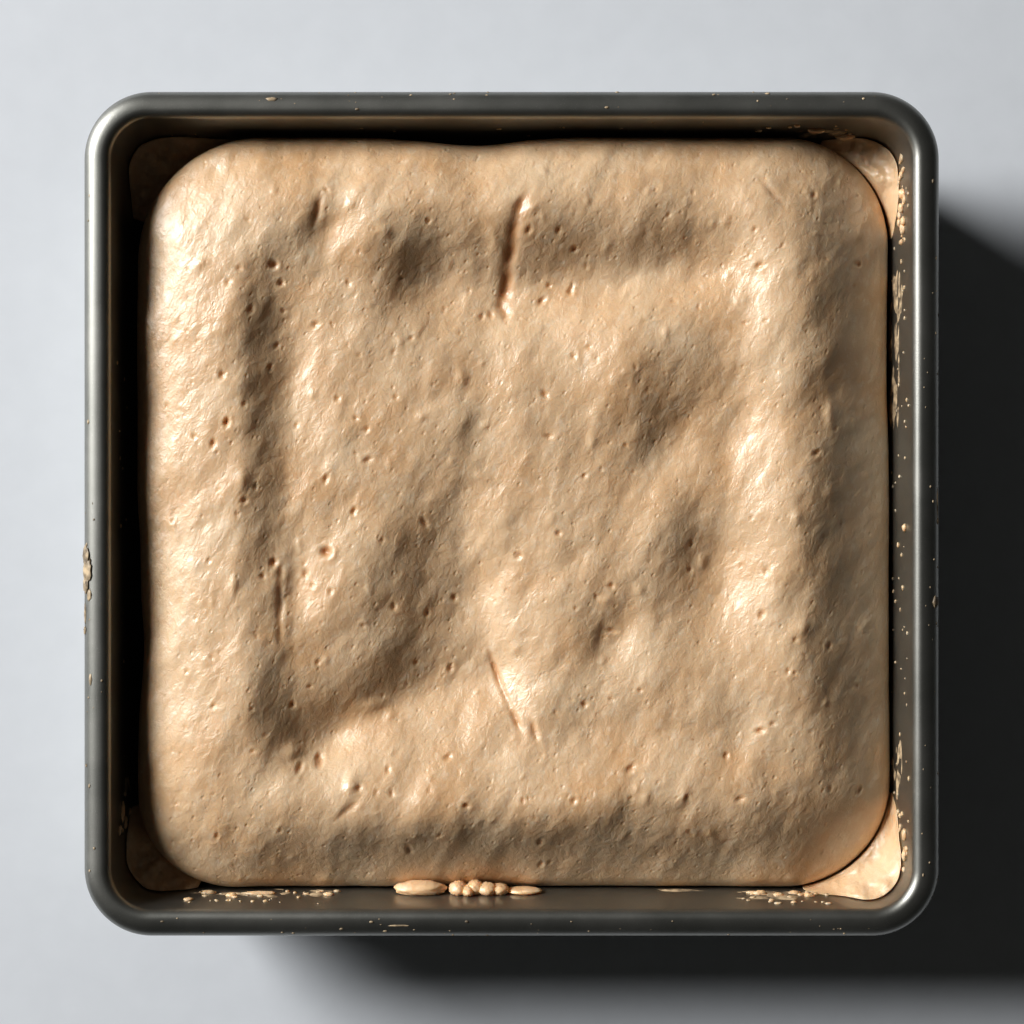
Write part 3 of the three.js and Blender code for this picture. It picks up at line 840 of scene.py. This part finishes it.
def make_scrap(name, sx, sy, arc, top_x, top_y, dip, bulges, seed):
    radius = CORNERS[(sx, sy)]
    side_x = DOUGH_RIGHT if sx > 0 else -DOUGH_LEFT
    hub = np.array([side_x - radius, DOUGH_BACK - radius])
    close = radius + DOUGH_GAP
    rings = []
    for i in range(SCRAP_SECTIONS + 1):
        t = i / SCRAP_SECTIONS
        angle = math.radians(arc[0] + (arc[1] - arc[0]) * t)
        body = math.sqrt(math.sin(math.pi * (0.02 + 0.96 * t)))
        ragged = 1 + 0.16 * float(cobbles(np.array(t * 100), np.array(0.0), 14, seed))
        ragged = ragged + 0.03 * float(cobbles(np.array(t * 100), np.array(9.0), 4, seed + 1))
        high = top_x + (top_y - top_x) * float(smooth((t - 0.2) / 0.6))
        crest = SCRAP_BASE + 1 + (high - SCRAP_BASE - 1) * min(body * ragged, 1.06)
        valley = SCRAP_BASE + 0.6 + (dip - SCRAP_BASE - 0.6) * body
        section = [(close, SCRAP_BASE), (close, valley)]
        for k in range(1, SCRAP_STEPS):
            u = k / SCRAP_STEPS
            z = valley + (crest - valley) * u ** 1.8
            section.append((close + (wall_distance(hub, angle, z) - close) * u, z))
        lip = SCRAP_BASE + (crest - SCRAP_BASE) * 0.93
        section.append((wall_distance(hub, angle, lip), lip))
        section.append((wall_distance(hub, angle, SCRAP_BASE), SCRAP_BASE))
        out = np.array([reach_out for reach_out, _ in section])
        z = np.array([height for _, height in section])
        x = sx * (hub[0] + out * math.cos(angle))
        y = sy * (hub[1] + out * math.sin(angle))
        lift = sum(rise * cobbles(x, y, size, seed + after) for rise, size, after in SCRAP_WAVES)
        for bulge in bulges:
            lift = lift + mound(x, y, bulge)
        free = np.zeros(len(z))
        free[2:-2] = np.minimum(1, np.minimum(np.arange(1, len(z) - 3), np.arange(len(z) - 4, 0, -1)) / 6)
        z = z + lift * free * body
        rings.append(np.stack([x, y, z], 1))
    count = len(rings[0])
    faces = ring_faces(len(rings), count)
    faces.append(list(range(count))[::-1])
    faces.append([SCRAP_SECTIONS * count + i for i in range(count)])
    if sx * sy < 0:
        faces = [face[::-1] for face in faces]
    mesh_piece(name + "_web", np.concatenate(rings), faces, WET_DOUGH, name)


class Heap:
    """Gathers many small lumps into one mesh."""

    def __init__(self):
        self.points, self.faces, self.size = [], [], 0

    def add(self, points, faces):
        self.faces += [[i + self.size for i in face] for face in faces]
        self.points.append(points)
        self.size += len(points)

    def build(self, name, material):
        return mesh_piece(name, np.concatenate(self.points), self.faces, material)


def lump(heap, chance, centre, radii, frame, around=8, rows=5, rough=0.16):
    """An uneven pebble: radii along the frame's three directions."""
    turns = np.arange(around) * 2 * math.pi / around
    rings = []
    for row in range(1, rows):
        tilt = math.pi * row / rows
        ring = np.stack([np.cos(turns) * math.sin(tilt), np.sin(turns) * math.sin(tilt),
                         np.full(around, math.cos(tilt))], 1)
        rings.append(ring * chance.uniform(1 - rough, 1 + rough, (around, 1)))
    body = np.concatenate(rings + [np.array([[0, 0, 1.0], [0, 0, -1.0]])])
    points = np.asarray(centre) + (body * np.asarray(radii)) @ np.asarray(frame)
    faces = [face[::-1] for face in ring_faces(len(rings), around)]
    top, bottom = len(body) - 2, len(body) - 1
    last = (len(rings) - 1) * around
    for i in range(around):
        j = (i + 1) % around
        faces.append([top, i, j])
        faces.append([bottom, last + j, last + i])
    heap.add(points, faces)


# Which way each wall faces outwards.
OUTWARD = {"right": (1.0, 0.0, 0.0), "left": (-1.0, 0.0, 0.0),
           "front": (0.0, -1.0, 0.0), "back": (0.0, 1.0, 0.0)}
UP = np.array([0.0, 0.0, 1.0])


def side_directions(side):
    """A side's outward direction, the direction along it, and its half of the pan's width."""
    outward = np.array(OUTWARD[side])
    along = np.abs(outward[[1, 0, 2]])
    return outward, along, PAN_HALF_X if side in ("right", "left") else PAN_HALF_Y


def wall_spot(side, along, z):
    """A place on the inner wall, with directions: along it, up it, and off it."""
    outward, sideways, half = side_directions(side)
    lean_c, lean_s = math.cos(WALL_LEAN), math.sin(WALL_LEAN)
    spot = outward * (half - wall_inset(z)) + sideways * along + UP * z
    return spot, np.array([sideways, outward * lean_s + UP * lean_c, UP * lean_s - outward * lean_c])


def rim_spot(side, along, round_by):
    """A place on the rolled rim: round_by is degrees from the widest line up to the crest."""
    outward, sideways, half = side_directions(side)
    angle = math.radians(round_by)
    out = -CURL_REACH + CURL_REACH * math.cos(angle)
    z = PAN_HEIGHT - CURL_DROP + CURL_DROP * math.sin(angle)
    off = np.array([math.cos(angle) / CURL_REACH, math.sin(angle) / CURL_DROP])
    off = off / np.hypot(*off)
    spot = outward * (half + out) + sideways * along + UP * z
    return spot, np.array([sideways, UP * off[0] - outward * off[1], outward * off[0] + UP * off[1]])


# Smears left on the walls: side, from, to, lower and upper height, cover, grain length.
SMEARS = [
    ("right", 20, 82, 24, 43, 0.22, 3.0),
    ("right", -86, -62, 26, 42, 0.0, 3.0),
    ("front", -98, -46, 27, 40, -0.05, 3.0),
    ("front", 62, 92, 30, 42, 0.05, 3.0),
    ("front", 22, 64, 27, 33, 0.0, 5.0),
    ("back", 76, 104, 28, 40, 0.05, 2.0),
    ("back", -104, -74, 24, 33, 0.2, 2.5),
    ("left", -100, -74, 26, 40, 0.05, 2.5),
]
SMEAR_CELL = 0.55
# How deep a smear's back lies in the wall.
SMEAR_ROOT = 0.6


def make_smears():
    """Thin films of dough, sunk into the coat except where they stand proud of it."""
    heap = Heap()
    for seed, (side, start, end, low, high, cover, grain) in enumerate(SMEARS):
        columns = int((end - start) / SMEAR_CELL) + 1
        rows = int((high - low) / SMEAR_CELL) + 1
        along, up = np.meshgrid(np.linspace(start, end, columns), np.linspace(low, high, rows))
        film = (0.7 * cobbles(along, up, 3.2, 40 + seed, grain / 1.5, 4)
                + 0.5 * cobbles(along, up, 1.3, 60 + seed, grain, 8))
        a, b = (along - start) / (end - start), (up - low) / (high - low)
        fade = smooth(np.minimum(a, 1 - a) * 5) * smooth((1 - b) * 2.2) * smooth(b * 6)
        proud = np.clip((film + cover) * fade, -0.4, 0.5) - 0.28 + 0.1 * fade
        spot, frame = wall_spot(side, 0.0, 0.0)
        flat_along, flat_up = along.reshape(-1, 1), up.reshape(-1, 1)
        face = spot + frame[0] * flat_along + UP * flat_up
        face = face + flat_up * math.tan(WALL_LEAN) * np.array(OUTWARD[side])
        front = face + frame[2] * np.clip(proud, -0.35, 0.45).reshape(-1, 1)
        behind = face - frame[2] * SMEAR_ROOT
        count = len(face)
        grid = np.arange(count).reshape(rows, columns)
        quads = np.stack([grid[:-1, :-1], grid[:-1, 1:], grid[1:, 1:], grid[1:, :-1]], -1).reshape(-1, 4)
        edge_ids = np.concatenate([grid[0, :-1], grid[:-1, -1], grid[-1, :0:-1], grid[:0:-1, 0]])
        after = np.roll(edge_ids, -1)
        sides = np.stack([edge_ids, edge_ids + count, after + count, after], 1)
        faces = quads.tolist() + (quads[:, ::-1] + count).tolist() + sides.tolist()
        heap.add(np.concatenate([front, behind]), faces)
    return heap.build("wall_smears", DRIED_DOUGH)


# Blisters of dough squeezed up against the front wall: x, height, half-length, thickness.
BLISTER_BEADS = [
    (-26.5, 33.5, 7.5, 2.2), (-15.5, 33.4, 2.8, 2.1), (-12.6, 34.2, 2.1, 1.6), (-10.5, 32.8, 2.6, 2.2),
    (-7.0, 33.6, 3.0, 1.9), (-3.5, 33.0, 2.8, 1.6), (3.5, 32.4, 5.2, 0.9),
]
BEAD_HALF_HEIGHT = 3.4


def make_front_blisters():
    heap = Heap()
    chance = np.random.RandomState(21)
    for x, z, half, thick in BLISTER_BEADS:
        spot, frame = wall_spot("front", x, z)
        centre = spot + frame[2] * thick * 0.75
        lump(heap, chance, centre, (half, BEAD_HALF_HEIGHT, thick), frame, 30, 20, 0.08)
    return heap.build("front_blisters", WET_DOUGH)


# Bands of crumbs: side, from, to, lower and upper height, how many, size.
CRUMB_BANDS = [
    ("right", -100, 104, 28, 46, 70, 0.45),
    ("right", 78, 104, 36, 42, 26, 0.8),
    ("right", -112, -84, 34, 44, 22, 0.7),
    ("front", -96, -50, 30, 44, 34, 0.55),
    ("front", 66, 96, 32, 44, 26, 0.7),
    ("left", -92, -80, 30, 42, 8, 0.8),
    ("left", -80, 60, 28, 44, 14, 0.35),
    ("back", 70, 100, 30, 44, 12, 0.6),
    ("back", -100, 60, 30, 46, 14, 0.35),
]
LARGE_CRUMBS = [
    ("front", -73, 34, 5.0, 0.7), ("front", -81, 36, 1.6, 0.8), ("front", -88, 33, 2.2, 0.7),
    ("front", -53, 35, 1.6, 0.7), ("front", -93, 40, 1.4, 0.6), ("front", 72, 34, 2.0, 0.9),
    ("front", 77, 36, 1.6, 0.8), ("front", 82, 34, 1.8, 0.8), ("front", 86, 36, 1.5, 0.8),
    ("right", 92, 40, 1.6, 1.0), ("right", 88, 39, 1.4, 0.9), ("right", 84, 41, 1.3, 0.8),
    ("right", -92, 42, 1.6, 0.8), ("right", -98, 42, 1.5, 0.8), ("right", -4, 42, 1.2, 0.7),
    ("left", -86, 38, 3.0, 0.6), ("back", 88, 38, 2.6, 0.9), ("back", 97, 32, 3.0, 1.2),
]


def make_crumbs():
    heap = Heap()
    chance = np.random.RandomState(5)
    for side, start, end, low, high, count, size in CRUMB_BANDS:
        for _ in range(count):
            spot, frame = wall_spot(side, chance.uniform(start, end), chance.uniform(low, high))
            r = size * chance.uniform(0.5, 1.3)
            lump(heap, chance, spot + frame[2] * r * 0.2, (r * chance.uniform(0.8, 1.8), r, r * 0.6), frame)
    for side, along, z, half, thick in LARGE_CRUMBS:
        spot, frame = wall_spot(side, along, z)
        lump(heap, chance, spot + frame[2] * thick * 0.3, (half, 1.0, thick), frame, 14, 8, 0.2)
    return heap.build("crumbs", WET_DOUGH)


# Smears wiped onto the rim: side, place along, degrees up from the widest line, half-sizes.
RIM_SMEARS = [
    ("left", -12, 30, 3.0, 1.6, 0.35), ("left", -16, 40, 3.6, 1.8, 0.4), ("left", -20, 28, 2.6, 1.4, 0.35),
    ("left", -23, 50, 1.6, 0.8, 0.3), ("left", -28, 24, 3.0, 0.5, 0.25), ("left", -33, 20, 1.2, 0.8, 0.3),
    ("left", -47, 55, 1.6, 0.5, 0.2), ("right", -25, 42, 1.7, 1.1, 0.5), ("right", 3, 30, 4.5, 0.3, 0.15),
    ("right", -2, 26, 1.0, 0.5, 0.2), ("front", -32, 70, 3.0, 0.3, 0.15), ("back", -68, 60, 1.6, 0.6, 0.25),
]
# How many specks lie on the rim, left to chance.
RIM_SPECKS = 130


def make_rim_marks():
    heap = Heap()
    chance = np.random.RandomState(9)
    for side, along, round_by, half_along, half_up, thick in RIM_SMEARS:
        spot, frame = rim_spot(side, along, round_by)
        lump(heap, chance, spot, (half_along, half_up, thick), frame, 16, 8, 0.22)
    for _ in range(RIM_SPECKS):
        side = chance.choice(["left", "right", "front", "back"])
        spot, frame = rim_spot(side, chance.uniform(-104, 104), chance.uniform(15, 95))
        r = 0.14 + 0.3 * chance.uniform() ** 3
        lump(heap, chance, spot, (r * chance.uniform(1, 2), r, r * 0.5), frame, 6, 4)
    return heap.build("rim_marks", DRIED_DOUGH)


# ---- Build -------------------------------------------------------------------------------------

make_stage()
make_key_light()
make_world()
make_camera()
WET_DOUGH = raw_dough()
DRIED_DOUGH = dried_film()
make_pan()
make_dough()
for number, scrap in enumerate(SCRAPS):
    make_scrap(*scrap, seed=11 + 4 * number)
make_smears()
make_front_blisters()
make_crumbs()
make_rim_marks()
bpy.context.scene.view_settings.view_transform = "Standard"
bpy.context.scene.view_settings.look = "Medium High Contrast"
